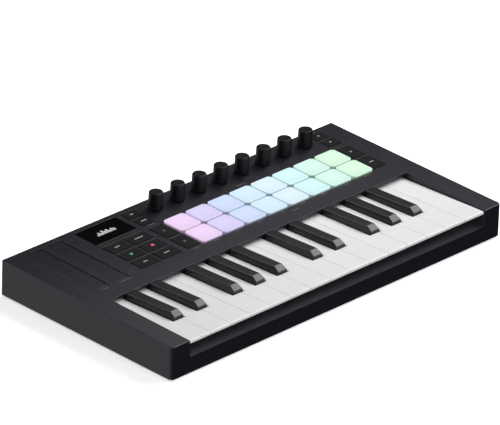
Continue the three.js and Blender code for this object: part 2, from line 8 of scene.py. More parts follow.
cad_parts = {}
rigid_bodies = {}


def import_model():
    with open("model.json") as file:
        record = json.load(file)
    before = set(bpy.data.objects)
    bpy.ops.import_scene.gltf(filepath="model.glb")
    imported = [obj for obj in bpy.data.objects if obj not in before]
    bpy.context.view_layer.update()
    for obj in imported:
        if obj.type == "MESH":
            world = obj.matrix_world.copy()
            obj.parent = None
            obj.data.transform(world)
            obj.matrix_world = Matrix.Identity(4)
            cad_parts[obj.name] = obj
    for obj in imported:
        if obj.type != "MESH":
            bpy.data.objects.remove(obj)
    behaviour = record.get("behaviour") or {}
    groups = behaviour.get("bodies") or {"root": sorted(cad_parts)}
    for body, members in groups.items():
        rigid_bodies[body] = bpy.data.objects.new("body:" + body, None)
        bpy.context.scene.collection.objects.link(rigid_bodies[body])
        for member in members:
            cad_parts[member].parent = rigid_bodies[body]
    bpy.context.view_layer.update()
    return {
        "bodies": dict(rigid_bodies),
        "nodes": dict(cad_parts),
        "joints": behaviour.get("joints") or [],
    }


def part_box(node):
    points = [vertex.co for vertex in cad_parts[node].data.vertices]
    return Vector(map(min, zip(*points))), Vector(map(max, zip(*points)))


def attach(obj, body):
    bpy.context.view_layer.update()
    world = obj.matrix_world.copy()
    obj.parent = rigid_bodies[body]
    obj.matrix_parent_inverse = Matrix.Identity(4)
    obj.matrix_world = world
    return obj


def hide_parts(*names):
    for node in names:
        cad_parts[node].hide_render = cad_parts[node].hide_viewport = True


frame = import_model()

MM = 0.001
scene = bpy.context.scene
joints = {joint["name"]: joint for joint in frame["joints"]}

# ---- The panel's own frame: x across, y up the slope, z out of the panel ----
PANEL_NORMAL = Vector(joints["knob_1_turn"]["axis"]).normalized()
PANEL_UP = PANEL_NORMAL.cross(Vector((1, 0, 0)))
knob_foot = Vector(joints["knob_1_turn"]["pos_m"])
panel_origin = knob_foot - PANEL_UP * (knob_foot.y / PANEL_UP.y)
panel_origin.x = 0
PANEL = Matrix((Vector((1, 0, 0)), PANEL_UP, PANEL_NORMAL)).transposed().to_4x4()
PANEL.translation = panel_origin
TO_PANEL = PANEL.inverted()

CASING = "casing"
WHITE_KEYS = [f"white_key_{i + 1:02d}" for i in range(15)]
BLACK_KEYS = [f"black_key_{i + 1:02d}" for i in range(10)]
KNOBS = [f"knob_{i + 1}" for i in range(8)]
BUTTONS = [name for name in frame["bodies"] if name.endswith("_button")]


def panel_box(node):
    """The centre of a node's box in the panel's frame, and the box's size."""
    low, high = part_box(node)
    return TO_PANEL @ ((low + high) / 2), high - low


# ---- Material making. Noise scales are in features per metre ----
MOTTLE_SCALE = 45
EDGE_LIGHTENING_SCALE = 160
GLOSS_SCALE = 220
GLOSS_SWING = 0.03
# How much lighter edges get: partly scuffs, partly a painted highlight.
EDGE_SCUFF_AND_HIGHLIGHT_GAIN = 1.9


def shader(name, colour, roughness, **sockets):
    made = bpy.data.materials.new(name)
    made.use_nodes = True
    node = made.node_tree.nodes["Principled BSDF"]
    node.inputs["Base Color"].default_value = (*colour, 1)
    node.inputs["Roughness"].default_value = roughness
    for socket, value in sockets.items():
        node.inputs[socket.replace("_", " ")].default_value = value
    return made, node


def add_node(material, kind, **values):
    node = material.node_tree.nodes.new(kind)
    for key, value in values.items():
        if key in node.inputs:
            node.inputs[key].default_value = value
        else:
            setattr(node, key, value)
    return node


def link(material, source, target):
    material.node_tree.links.new(source, target)


def object_coordinates(material):
    return add_node(material, "ShaderNodeTexCoord").outputs["Object"]


def noise(material, scale, detail, coordinates=None):
    node = add_node(material, "ShaderNodeTexNoise", Scale=scale, Detail=detail)
    link(material, coordinates or object_coordinates(material), node.inputs["Vector"])
    return node.outputs["Fac"]


def ranged(material, factor, low, high, from_low=0.3, from_high=0.7):
    """Maps factor to low..high. Noise keeps mostly within 0.3 to 0.7."""
    node = add_node(material, "ShaderNodeMapRange")
    node.inputs["From Min"].default_value = from_low
    node.inputs["From Max"].default_value = from_high
    node.inputs["To Min"].default_value = low
    node.inputs["To Max"].default_value = high
    link(material, factor, node.inputs["Value"])
    return node.outputs["Result"]


def blended(material, factor, first, second):
    """Mixes two colours, each a tuple or another node's output."""
    node = add_node(material, "ShaderNodeMix", data_type="RGBA")
    colours = [socket for socket in node.inputs if socket.type == "RGBA"]
    for socket, colour in zip(colours, (first, second)):
        if isinstance(colour, tuple):
            socket.default_value = (*colour, 1)
        else:
            link(material, colour, socket)
    link(material, factor, node.inputs["Factor"])
    return [socket for socket in node.outputs if socket.type == "RGBA"][0]


def bump(material, node, height, strength, distance):
    made = add_node(material, "ShaderNodeBump", Strength=strength, Distance=distance)
    link(material, height, made.inputs["Height"])
    link(material, made.outputs["Normal"], node.inputs["Normal"])


def uneven_gloss(material, node, scale, detail, low, high):
    """Roughness that wanders between low and high over the surface."""
    gloss = ranged(material, noise(material, scale, detail), low, high)
    link(material, gloss, node.inputs["Roughness"])


def scaled(colour, factor):
    return tuple(channel * factor for channel in colour)


def moulded(name, colour, roughness, grain, depth, spread=0.12, painted_light_colour=None, **sockets):
    """Moulded plastic or rubber: fine grain, faint mottling, and lighter edges that are partly
    scuffs and partly a painted highlight.

    grain is the noise scale of the moulded texture and depth its height. The last colour
    argument is painted light:
    a lighter colour on faces that the mask attribute picks, a painted highlight on the black
    keys' front facets and a painted reflection on the case's front ledge."""
    made, node = shader(name, colour, roughness, **sockets)
    mottle = ranged(made, noise(made, MOTTLE_SCALE, 4), 0, 1)
    body = blended(made, mottle, scaled(colour, 1 - spread), scaled(colour, 1 + spread))
    # Faces picked by the mask take a lighter colour that is painted light: a painted highlight
    # on black key facets, a painted reflection on the case's ledge.
    if painted_light_colour:
        painted_light_node = add_node(made, "ShaderNodeAttribute", attribute_name="painted_light_mask")
        body = blended(made, painted_light_node.outputs["Fac"], body, painted_light_colour)
    # Edges lightened in noisy patches: partly scuffs, partly a painted highlight.
    edge_lightening_mask = add_node(made, "ShaderNodeAttribute", attribute_name="edge_scuff_and_highlight")
    edge_lightening = add_node(made, "ShaderNodeMath", operation="MULTIPLY")
    link(made, edge_lightening_mask.outputs["Fac"], edge_lightening.inputs[0])
    link(made, ranged(made, noise(made, EDGE_LIGHTENING_SCALE, 3), 0.1, 0.6), edge_lightening.inputs[1])
    edge_lightened = blended(made, edge_lightening.outputs[0], body, scaled(colour, EDGE_SCUFF_AND_HIGHLIGHT_GAIN))
    link(made, edge_lightened, node.inputs["Base Color"])
    uneven_gloss(made, node, GLOSS_SCALE, 3, roughness - GLOSS_SWING, roughness + GLOSS_SWING)
    bump(made, node, noise(made, grain, 3), 0.35, depth)
    return made


def metal(name, colour, roughness):
    """Metal with a fine grain drawn out along x."""
    made, node = shader(name, colour, roughness, Metallic=1.0)
    coordinates = add_node(made, "ShaderNodeMapping", Scale=(60, 1800, 1800))
    link(made, object_coordinates(made), coordinates.inputs["Vector"])
    grain = noise(made, 1, 3, coordinates.outputs["Vector"])
    link(made, ranged(made, grain, roughness - 0.08, roughness + 0.1), node.inputs["Roughness"])
    bump(made, node, grain, 0.2, 0.02 * MM)
    return made


def glass():
    made, node = shader("screen_glass", (0.0015, 0.0015, 0.0020), 0.06, IOR=1.45)
    uneven_gloss(made, node, 130, 3, 0.03, 0.08)
    return made


def ink(name, colour):
    made, node = shader(name, colour, 0.5)
    uneven_gloss(made, node, 900, 2, 0.42, 0.6)
    return made


def board_enamel():
    """Green enamel with a pattern of tracks."""
    enamel = (0.012, 0.055, 0.030)
    made, node = shader("board_enamel", enamel, 0.35)
    tracks = add_node(made, "ShaderNodeTexBrick", Scale=160)
    tracks.inputs["Mortar Size"].default_value = 0.08
    tracks.inputs["Color1"].default_value = (*enamel, 1)
    tracks.inputs["Color2"].default_value = (0.014, 0.065, 0.036, 1)
    tracks.inputs["Mortar"].default_value = (0.030, 0.120, 0.060, 1)
    link(made, object_coordinates(made), tracks.inputs["Vector"])
    link(made, tracks.outputs["Color"], node.inputs["Base Color"])
    return made


def lit(name, colour, glow_share, edge=0.8, flank=1.0):
    """Translucent material lit from below, dimmer by edge at its rim than over the lamp.

    In full light its upper face shows the colour given: glow_share of it comes from the lamp.
    Its sides glow flank times as much."""
    made, node = shader(name, colour, 0.45, Specular_IOR_Level=0.25)
    coordinates = add_node(made, "ShaderNodeTexCoord").outputs["Generated"]
    centred = add_node(made, "ShaderNodeVectorMath", operation="SUBTRACT")
    centred.inputs[1].default_value = (0.5, 0.5, 0.5)
    link(made, coordinates, centred.inputs[0])
    flat = add_node(made, "ShaderNodeVectorMath", operation="MULTIPLY")
    flat.inputs[1].default_value = (1, 1, 0)
    link(made, centred.outputs[0], flat.inputs[0])
    length = add_node(made, "ShaderNodeVectorMath", operation="LENGTH")
    link(made, flat.outputs[0], length.inputs[0])
    near_rim = ranged(made, length.outputs["Value"], 0, 1, 0.1, 0.7)
    glow = blended(made, near_rim, colour, scaled(colour, edge))
    body = scaled(colour, 1 - glow_share)
    link(made, blended(made, near_rim, body, scaled(body, edge)), node.inputs["Base Color"])
    link(made, glow, node.inputs["Emission Color"])
    node.inputs["Emission Strength"].default_value = glow_share
    if flank < 1:
        rise = add_node(made, "ShaderNodeSeparateXYZ")
        link(made, coordinates, rise.inputs[0])
        level = ranged(made, rise.outputs["Z"], glow_share * flank, glow_share, 0.72, 0.96)
        link(made, level, node.inputs["Emission Strength"])
    bump(made, node, noise(made, 1500, 2), 0.15, 0.02 * MM)
    return made


# ---- The materials ----
COOL_SHEEN = (0.95, 0.91, 1.0, 1)

# The lighter colour given for the front ledge is a painted reflection of the keys' lit
# undersides.
CASE = moulded(
    "case_plastic", (0.0066, 0.0058, 0.0092), 0.38, 2600, 0.04 * MM, spread=0.06,
    painted_light_colour=(0.040, 0.038, 0.046), Specular_Tint=COOL_SHEEN,
)
BASE = moulded("base_plastic", (0.018, 0.018, 0.019), 0.6, 1800, 0.08 * MM)
WHITE = moulded(
    "white_key_plastic", (0.735, 0.725, 0.725), 0.36, 3200, 0.012 * MM, spread=0.012,
)
# The lighter colour given for the front facets is a painted highlight.
BLACK = moulded(
    "black_key_plastic", (0.0085, 0.0082, 0.0102), 0.33, 2400, 0.03 * MM, spread=0.05,
    painted_light_colour=(0.042, 0.042, 0.046),
)
KNOB_RUBBER = moulded(
    "knob_rubber", (0.0034, 0.0033, 0.0044), 0.42, 3600, 0.03 * MM, Specular_IOR_Level=0.2,
)
BUTTON_RUBBER = moulded(
    "button_rubber", (0.0040, 0.0040, 0.0050), 0.66, 3000, 0.03 * MM, Specular_IOR_Level=0.15,
)
STRIP = moulded(
    "strip_plastic", (0.0064, 0.0056, 0.0088), 0.36, 3400, 0.02 * MM, spread=0.05,
    Specular_Tint=COOL_SHEEN,
)
FOOT = moulded("foot_rubber", (0.012, 0.012, 0.012), 0.85, 900, 0.12 * MM)
CHASSIS = moulded("chassis_plastic", (0.030, 0.030, 0.031), 0.6, 1500, 0.06 * MM)
JACK = moulded("jack_plastic", (0.012, 0.012, 0.012), 0.45, 2000, 0.03 * MM)
PAD_SHEET = moulded("pad_sheet_silicone", (0.02, 0.02, 0.025), 0.6, 2400, 0.03 * MM)
GLASS = glass()
STEEL = metal("plated_steel", (0.56, 0.56, 0.57), 0.3)
SCREW = metal("blackened_steel", (0.07, 0.07, 0.075), 0.4)
MARK = ink("legend_ink", (0.36, 0.36, 0.38))
DIM_MARK = ink("dim_legend_ink", (0.09, 0.09, 0.095))
GREEN_LIGHT = lit("green_light", (0.10, 0.62, 0.27), 0.9)
RED_LIGHT = lit("red_light", (0.78, 0.13, 0.18), 0.9)
DISPLAY_LIGHT = lit("display_light", (0.62, 0.63, 0.66), 0.95, edge=0.9)


# ---- Mesh making ----
MADE_SHARP = math.radians(50)
CROWN_RINGS = ((1.2 * MM, 0.6), (3.0 * MM, 1.0))  # how far in from the round, share of the crown
MARK_DEPTH = 0.1 * MM
MARK_HEIGHT = 0.06 * MM


def add_piece(name, bm, material, body):
    """Makes the finished bmesh an object of the given name, which rides on a body."""
    mesh = bpy.data.meshes.new(name)
    bm.to_mesh(mesh)
    bm.free()
    mesh.materials.append(material)
    for polygon in mesh.polygons:
        polygon.use_smooth = True
    piece = bpy.data.objects.new(name, mesh)
    scene.collection.objects.link(piece)
    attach(piece, body)
    modifier = piece.modifiers.new("even_normals", "WEIGHTED_NORMAL")
    modifier.weight = 100
    modifier.keep_sharp = True
    return piece


def mark_sharp(bm, limit):
    for edge in bm.edges:
        edge.smooth = len(edge.link_faces) == 2 and edge.calc_face_angle(0) < limit


def mark_edge_scuff_and_highlight(bm, scuff_and_highlight_faces):
    """1 where only small edge faces meet, 0 on the flats. The material lightens these edges,
    partly as scuffs and partly as a painted highlight.
    """
    layer = bm.verts.layers.float.new("edge_scuff_and_highlight")
    scuff_and_highlight = set(scuff_and_highlight_faces)
    for vertex in bm.verts:
        is_scuff_and_highlight = vertex.link_faces and all(face in scuff_and_highlight for face in vertex.link_faces)
        vertex[layer] = 1.0 if is_scuff_and_highlight else 0.0


def lofted(name, loops, material, body, matrix=PANEL, scuff_and_highlight_levels=range(0)):
    """Joins closed loops of points into one closed skin with flat ends."""
    bm = bmesh.new()
    rings = [[bm.verts.new(matrix @ Vector(point)) for point in loop] for loop in loops]
    count = len(rings[0])
    scuff_and_highlight = []
    for level, (lower, upper) in enumerate(zip(rings, rings[1:])):
        for i in range(count):
            j = (i + 1) % count
            face = bm.faces.new((lower[i], lower[j], upper[j], upper[i]))
            if level in scuff_and_highlight_levels:
                scuff_and_highlight.append(face)
    bm.faces.new(list(reversed(rings[0])))
    bm.faces.new(rings[-1])
    bmesh.ops.recalc_face_normals(bm, faces=bm.faces[:])
    mark_edge_scuff_and_highlight(bm, scuff_and_highlight)
    mark_sharp(bm, MADE_SHARP)
    return add_piece(name, bm, material, body)


def rounded_loop(width, depth, radius, steps=6):
    """A rectangle with rounded corners."""
    points = []
    for side_x, side_y, start in ((1, -1, -90), (1, 1, 0), (-1, 1, 90), (-1, -1, 180)):
        for i in range(steps + 1):
            angle = math.radians(start + 90 * i / steps)
            x = side_x * (width / 2 - radius) + radius * math.cos(angle)
            y = side_y * (depth / 2 - radius) + radius * math.sin(angle)
            points.append((x, y))
    return points


def cut_corner_loop(size, cut, per_side=4):
    """A square with its corners cut at 45 degrees, with extra points along its sides."""
    half, near = size / 2, size / 2 - cut
    corners = [
        (near, -half), (half, -near), (half, near), (near, half),
        (-near, half), (-half, near), (-half, -near), (-near, -half),
    ]
    points = []
    for (x0, y0), (x1, y1) in zip(corners, corners[1:] + corners[:1]):
        for i in range(per_side):
            share = i / per_side
            points.append((x0 + (x1 - x0) * share, y0 + (y1 - y0) * share))
    return points


def quarter_round(top, radius, steps=4):
    """(inset, height) pairs round a quarter circle up to a flat top."""
    turns = [math.radians(90 * i / steps) for i in range(steps + 1)]
    return [(radius * (1 - math.cos(a)), top - radius + radius * math.sin(a)) for a in turns]


def soft_block(name, outline, centre, heights, edge, material, body, crown=0.0):
    """A block from heights[0] to heights[1] with rounded upper edges.

    outline(inset) gives its loop, shrunk by inset. Its top bulges by crown, or dips below 0."""
    bottom, top = heights
    levels = [(0.0, bottom)] + quarter_round(top, edge)
    round_levels = range(1, len(levels) - 1)
    levels += [(edge + inset, top + share * crown) for inset, share in CROWN_RINGS]
    loops = [
        [(centre[0] + x, centre[1] + y, height) for x, y in outline(inset)]
        for inset, height in levels
    ]
    return lofted(name, loops, material, body, scuff_and_highlight_levels=round_levels)


def lathed(name, profile, segments, matrix, material, body, ripple=None):
    """Turns (radius, height) pairs round the matrix's z axis, plus ripple(angle, height)."""
    loops = []
    for radius, height in profile:
        loop = []
        for i in range(segments):
            angle = 2 * math.pi * i / segments
            grown = radius + (ripple(angle, height) if ripple else 0)
            loop.append((grown * math.cos(angle), grown * math.sin(angle), height))
        loops.append(loop)
    return lofted(name, loops, material, body, matrix=matrix)


def flat_mark(name, points, centre, height, material, body):
    """A thin printed or lit shape lying at a height over the panel."""
    loops = [
        [(centre[0] + x, centre[1] + y, level) for x, y in points]
        for level in (height - MARK_DEPTH, height + MARK_HEIGHT)
    ]
    return lofted(name, loops, material, body)


# ---- CAD shapes carried over with their edges rounded ----
END_SLACK = 0.05 * MM
WELD_DISTANCE = 0.004 * MM
FLAT_ANGLE = math.radians(0.4)
ROUND_ANGLE = math.radians(28)
CAD_SHARP = math.radians(35)


def widen_ends(bm, amount):
    """Moves the left and right ends outward."""
    left = min(vertex.co.x for vertex in bm.verts)
    right = max(vertex.co.x for vertex in bm.verts)
    for vertex in bm.verts:
        if vertex.co.x < left + END_SLACK:
            vertex.co.x -= amount
        elif vertex.co.x > right - END_SLACK:
            vertex.co.x += amount


def refined(node, rounds, material, body, widen=0.0, painted_light_at=None):
    """A copy of a CAD node with rounded edges, in the node's place.

    rounds is a list of (choose(edge), radius, segments), and only convex edges are offered.
    The last argument picks the vertices that take the material's lighter painted-light colour."""
    bm = bmesh.new()
    bm.from_mesh(frame["nodes"][node].data)
    widen_ends(bm, widen)
    bmesh.ops.remove_doubles(bm, verts=bm.verts[:], dist=WELD_DISTANCE)
    bmesh.ops.dissolve_limit(
        bm, angle_limit=FLAT_ANGLE, verts=bm.verts[:], edges=bm.edges[:],
        use_dissolve_boundaries=False,
    )
    scuff_and_highlight = []
    for choose, radius, segments in rounds:
        edges = [
            edge for edge in bm.edges
            if len(edge.link_faces) == 2 and edge.calc_face_angle(0) > ROUND_ANGLE
            and edge.is_convex and choose(edge)
        ]
        result = bmesh.ops.bevel(
            bm, geom=edges, offset=radius, offset_type="OFFSET", segments=segments,
            profile=0.5, affect="EDGES", clamp_overlap=False, miter_outer="SHARP",
        )
        scuff_and_highlight = [face for face in scuff_and_highlight if face.is_valid] + result["faces"]
    mark_edge_scuff_and_highlight(bm, [face for face in scuff_and_highlight if face.is_valid])
    # Vertices picked here take the material's lighter painted-light colour.
    if painted_light_at:
        bm.normal_update()
        layer = bm.verts.layers.float.new("painted_light_mask")
        for vertex in bm.verts:
            vertex[layer] = 1.0 if painted_light_at(vertex) else 0.0
    mark_sharp(bm, CAD_SHARP)
    piece = add_piece(f"{node}_moulding", bm, material, body)
    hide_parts(node)


def middle(edge):
    return (edge.verts[0].co + edge.verts[1].co) / 2


# ---- Casing ----
FRONT_WALL_DEPTH = 0.5 * MM
LEDGE_HEIGHTS = (8 * MM, 16 * MM)  # the front ledge's top lies between these
LEDGE_REACH = 1.3 * MM
LEDGE_LENGTH = 200 * MM  # only the ledge's edges are longer, near the ledge
LEDGE_PAINTED_REFLECTION = (0.3 * MM, 20 * MM)  # from the front of the case: the span of the ledge that takes a painted reflection
SIDE_REACH = 3.1 * MM
RIM_HEIGHT = 1 * MM  # edges lower than this are under the case
PANEL_SLACK = 0.1 * MM
LEDGE_CHAMFER = 1.05 * MM
OUTER_ROUND = 0.6 * MM
OPENING_ROUND = 0.25 * MM


def build_casing():
    low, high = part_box("top_case")
    vertices = [vertex.co for vertex in frame["nodes"]["top_case"].data.vertices]
    front = [point.z for point in vertices if point.y < low.y + FRONT_WALL_DEPTH]
    ledge_height = max(z for z in front if LEDGE_HEIGHTS[0] < z < LEDGE_HEIGHTS[1])

    def ledge(edge):
        point = middle(edge)
        is_long = abs(edge.verts[0].co.x - edge.verts[1].co.x) > LEDGE_LENGTH
        is_front = point.y < low.y + LEDGE_REACH
        return is_long and is_front and abs(point.z - ledge_height) < LEDGE_REACH

    def outer(edge):
        point = middle(edge)
        to_side = min(point.x - low.x, high.x - point.x, point.y - low.y, high.y - point.y)
        return to_side < SIDE_REACH and point.z > low.z + RIM_HEIGHT and not ledge(edge)

    def opening(edge):
        return (TO_PANEL @ middle(edge)).z > -PANEL_SLACK and not ledge(edge)

    # The ledge's top takes a painted reflection of the keys' lit undersides.
    def on_ledge(vertex):
        from_front = vertex.co.y - low.y
        is_level = abs(vertex.co.z - ledge_height) < PANEL_SLACK
        return is_level and LEDGE_PAINTED_REFLECTION[0] < from_front < LEDGE_PAINTED_REFLECTION[1]

    rounds = [(ledge, LEDGE_CHAMFER, 1), (outer, OUTER_ROUND, 3), (opening, OPENING_ROUND, 2)]
    refined("top_case", rounds, CASE, CASING, painted_light_at=on_ledge)


def use_material(node, material):
    materials = frame["nodes"][node].data.materials
    materials.clear()
    materials.append(material)


# ---- Keys ----
WHITE_FRONT_ROUND = 0.9 * MM
WHITE_EDGE_ROUND = 0.15 * MM
WHITE_WIDEN = 0.05 * MM  # narrows the gap that the CAD leaves between keys
WHITE_UPPER = 5.5 * MM
BLACK_ROUND = 0.55 * MM
BLACK_HEAD = 4.8 * MM
BLACK_HEAD_REAR = -8.1 * MM  # behind this y the panel covers the keys
FACET_TILT = 0.3
FACET_AREA = 10 * MM * MM


def build_white_key(node):
    low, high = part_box(node)

    def front_top(edge):
        ends = [vertex.co for vertex in edge.verts]
        return all(end.y < low.y + 0.2 * MM and end.z > high.z - 0.5 * MM for end in ends)

    def upper(edge):
        return middle(edge).z > high.z - WHITE_UPPER

    rounds = [(front_top, WHITE_FRONT_ROUND, 4), (upper, WHITE_EDGE_ROUND, 2)]
    refined(node, rounds, WHITE, node, widen=WHITE_WIDEN)


def build_black_key(node):
    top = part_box(node)[1].z

    def head(edge):
        point = middle(edge)
        return point.z > top - BLACK_HEAD and point.y < BLACK_HEAD_REAR

    rounds = [(head, BLACK_ROUND, 4)]
    # The front facets take a painted highlight.
    refined(node, rounds, BLACK, node, painted_light_at=on_front_facet)


def on_front_facet(vertex):
    """True on the slanted face at the front of a black key, which takes a painted highlight."""
    return any(
        face.normal.y < -FACET_TILT and face.normal.z > FACET_TILT
        and face.calc_area() > FACET_AREA
        for face in vertex.link_faces
    )


# ---- Buttons, with a plain bar or symbol on each ----
BUTTON_FLANGE = 0.8 * MM
BUTTON_PLAY = 0.06 * MM
BUTTON_CORNER = 1.1 * MM
BUTTON_LEAST_CORNER = 0.3 * MM
BUTTON_EDGE = 0.35 * MM
BUTTON_HEIGHTS = (-3.4 * MM, 0.4 * MM)
BUTTON_DIP = -0.08 * MM


def bar(width, height=0.9 * MM):
    return rounded_loop(width, height, height / 2.5, 3)


def round_loop(radius, turns):
    return [(radius * math.cos(turn), radius * math.sin(turn)) for turn in turns]


def triangle(size, degrees):
    """A triangle that points at the given angle."""
    return round_loop(size, [math.radians(degrees + corner) for corner in (0, 120, 240)])


def disc(radius, steps=24):
    return round_loop(radius, [2 * math.pi * i / steps for i in range(steps)])


BUTTON_MARKS = {
    "shift_button": (bar(3.0 * MM, 1.0 * MM), MARK),
    "settings_button": (bar(5.2 * MM, 1.0 * MM), MARK),
    "custom_button": (bar(4.6 * MM), MARK),
    "arp_button": (bar(8.0 * MM), MARK),
    "play_button": (triangle(1.7 * MM, 0), GREEN_LIGHT),
    "record_button": (disc(1.45 * MM), RED_LIGHT),
    "octave_down_button": (bar(4.2 * MM), MARK),
    "octave_up_button": (bar(5.4 * MM), MARK),
    "pad_bank_up_button": (triangle(1.7 * MM, 90), DIM_MARK),
    "pad_bank_down_button": (triangle(1.7 * MM, -90), DIM_MARK),
    "knob_bank_up_button": (triangle(1.25 * MM, 90), MARK),
    "knob_bank_down_button": (triangle(1.25 * MM, -90), MARK),
    "scene_launch_button": (triangle(1.25 * MM, 0), MARK),
    "function_button": (bar(4.2 * MM, 0.8 * MM), MARK),
}


def build_button(node):
    centre, size = panel_box(node)
    width, depth = size.x, size.y - 2 * BUTTON_FLANGE - BUTTON_PLAY

    def outline(inset):
        radius = max(BUTTON_CORNER - inset, BUTTON_LEAST_CORNER)
        return rounded_loop(width - 2 * inset, depth - 2 * inset, radius)

    piece = soft_block(
        f"{node}_cap", outline, centre, BUTTON_HEIGHTS, BUTTON_EDGE, BUTTON_RUBBER, node,
        crown=BUTTON_DIP,
    )
    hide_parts(node)


def build_button_mark(node):
    points, material = BUTTON_MARKS[node]
    height = BUTTON_HEIGHTS[1] + BUTTON_DIP
    flat_mark(f"{node}_mark", points, panel_box(node)[0], height, material, node)


# ---- Pads: a dark sheet, and sixteen lit pads with cut corners on it ----
PAD_COLOURS = [
    (0.86, 0.66, 0.93),
    (0.70, 0.64, 0.94),
    (0.62, 0.72, 0.95),
    (0.66, 0.84, 0.96),
    (0.72, 0.87, 0.96),
    (0.65, 0.91, 0.94),
    (0.66, 0.91, 0.82),
    (0.68, 0.92, 0.72),
]
PAD_ROWS = 2
PAD_PITCH = 21.8 * MM
PAD_SIZE = 20.8 * MM
PAD_CUT = 2.2 * MM
PAD_CUT_SHRINK = 0.586  # 2 - sqrt(2): the cut corners draw in as far as the sides do
PAD_EDGE = 0.7 * MM
PAD_HEIGHTS = (-2.9 * MM, 1.2 * MM)
PAD_DIP = -0.1 * MM
SHEET_HEIGHTS = (-3.9 * MM, -2.75 * MM)
SHEET_PLAY = 0.1 * MM


def pad_column(centre, column):
    return centre.x + (column - (len(PAD_COLOURS) - 1) / 2) * PAD_PITCH


def build_pads():
    centre, size = panel_box("pad_mat")

    def sheet_outline(inset):
        return rounded_loop(size.x - 2 * inset, size.y - 2 * inset - SHEET_PLAY, 1.0 * MM)

    def pad_outline(inset):
        return cut_corner_loop(PAD_SIZE - 2 * inset, PAD_CUT - PAD_CUT_SHRINK * inset)

    sheet = soft_block(
        "pad_sheet", sheet_outline, centre, SHEET_HEIGHTS, 0.2 * MM, PAD_SHEET, CASING,
    )
    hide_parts("pad_mat")
    for column, colour in enumerate(PAD_COLOURS):
        glow = lit(f"pad_light_{column + 1}", colour, 0.6, edge=0.93, flank=0.25)
        for row in range(PAD_ROWS):
            place = (pad_column(centre, column), centre.y + (row - 0.5) * PAD_PITCH)
            soft_block(
                f"pad_{row + 1}_{column + 1}", pad_outline, place, PAD_HEIGHTS, PAD_EDGE,
                glow, CASING, crown=PAD_DIP,
            )


# ---- Knobs ----
KNOB_SHAFT = 3.0 * MM
KNOB_SHAFT_FOOT = -5.6 * MM
KNOB_SKIRT = 0.5 * MM
KNOB_BASE_RADIUS = 5.58 * MM
KNOB_TOP_RADIUS = 5.3 * MM
KNOB_RIM = 0.9 * MM
KNOB_INSIDE_CAD = 0.06 * MM  # the top stays this far under the CAD's
KNOB_SEGMENTS = 96
KNOB_SIDE_RINGS = 7
RIPPLE_DEPTH = 0.03 * MM
RIPPLE_WAVES = 60  # sampled at 96 points, so 36 show
RIPPLE_MARGIN = 1.5 * MM


def knob_profile(top):
    """(radius, height) pairs from the shaft's foot to the dished top."""
    foot = KNOB_BASE_RADIUS
    profile = [(KNOB_SHAFT, KNOB_SHAFT_FOOT), (KNOB_SHAFT, KNOB_SKIRT)]
    profile += [(foot - 0.2 * MM, KNOB_SKIRT), (foot, 0.7 * MM), (foot, 1.3 * MM)]
    for i in range(KNOB_SIDE_RINGS):
        share = i / (KNOB_SIDE_RINGS - 1)
        height = 1.6 * MM + (top - KNOB_RIM - 1.9 * MM) * share
        profile.append((foot + (KNOB_TOP_RADIUS - foot) * share, height))
    rim = quarter_round(top, KNOB_RIM, 5)
    profile += [(KNOB_TOP_RADIUS - inset, height) for inset, height in rim]
    return profile + [(KNOB_TOP_RADIUS - 1.7 * MM, top - 0.04 * MM), (0.4 * MM, top - 0.12 * MM)]


def build_knobs():
    low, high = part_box("knob_1")
    cad_top = TO_PANEL @ Vector(((low.x + high.x) / 2, (low.y + high.y) / 2, high.z))
    top = cad_top.z - KNOB_INSIDE_CAD
    profile = knob_profile(top)

    def ripple(angle, height):
        if not RIPPLE_MARGIN < height < top - RIPPLE_MARGIN:
            return 0.0
        return RIPPLE_DEPTH * math.cos(RIPPLE_WAVES * angle)

    for node in KNOBS:
        place = PANEL.copy()
        place.translation = Vector(joints[f"{node}_turn"]["pos_m"])
        piece = lathed(
            f"{node}_cap", profile, KNOB_SEGMENTS, place, KNOB_RUBBER, node,
            ripple=ripple,
        )
        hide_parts(node)


# ---- Screen and touch strips ----
LENS_HEIGHTS = (-1.4 * MM, -0.12 * MM)
STRIP_HEIGHTS = (-1.4 * MM, -0.45 * MM)
DISPLAY_BARS = (0.35, 0.8, 0.55, 1.0, 0.7, 0.9, 0.5, 0.75, 0.6)
DISPLAY_TALLEST = 5.4 * MM
DISPLAY_PITCH = 2.0 * MM
DISPLAY_CORNER = (-8.0 * MM, -2.4 * MM)  # foot of the first bar, from the screen's centre


def plate(node, name, corner, heights, edge, material):
    """A flat plate with rounded corners in place of a CAD node."""
    centre, size = panel_box(node)

    def outline(inset):
        return rounded_loop(size.x - 2 * inset, size.y - 2 * inset, corner)

    piece = soft_block(name, outline, centre, heights, edge, material, CASING)
    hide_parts(node)
    return centre


def build_screen():
    centre = plate(
        "screen_lens", "screen_window", 0.9 * MM, LENS_HEIGHTS, 0.15 * MM, GLASS,
    )
    for i, share in enumerate(DISPLAY_BARS):
        tall = DISPLAY_TALLEST * share
        x = centre.x + DISPLAY_CORNER[0] + i * DISPLAY_PITCH
        y = centre.y + DISPLAY_CORNER[1] + tall / 2
        points = rounded_loop(1.4 * MM, tall, 0.25 * MM, 2)
        name = f"display_bar_{i + 1}"
        flat_mark(name, points, (x, y), -0.1 * MM, DISPLAY_LIGHT, CASING)


def build_strips():
    for node in ("pitch_strip", "modulation_strip"):
        plate(node, f"{node}_plate", 1.0 * MM, STRIP_HEIGHTS, 0.25 * MM, STRIP)


# ---- Short plain bars where such a panel has its small legends ----
def build_legend(name, x, y, width, height=0.7 * MM):
    flat_mark(f"legend_{name}", bar(width, height), (x, y), 0.0, DIM_MARK, CASING)


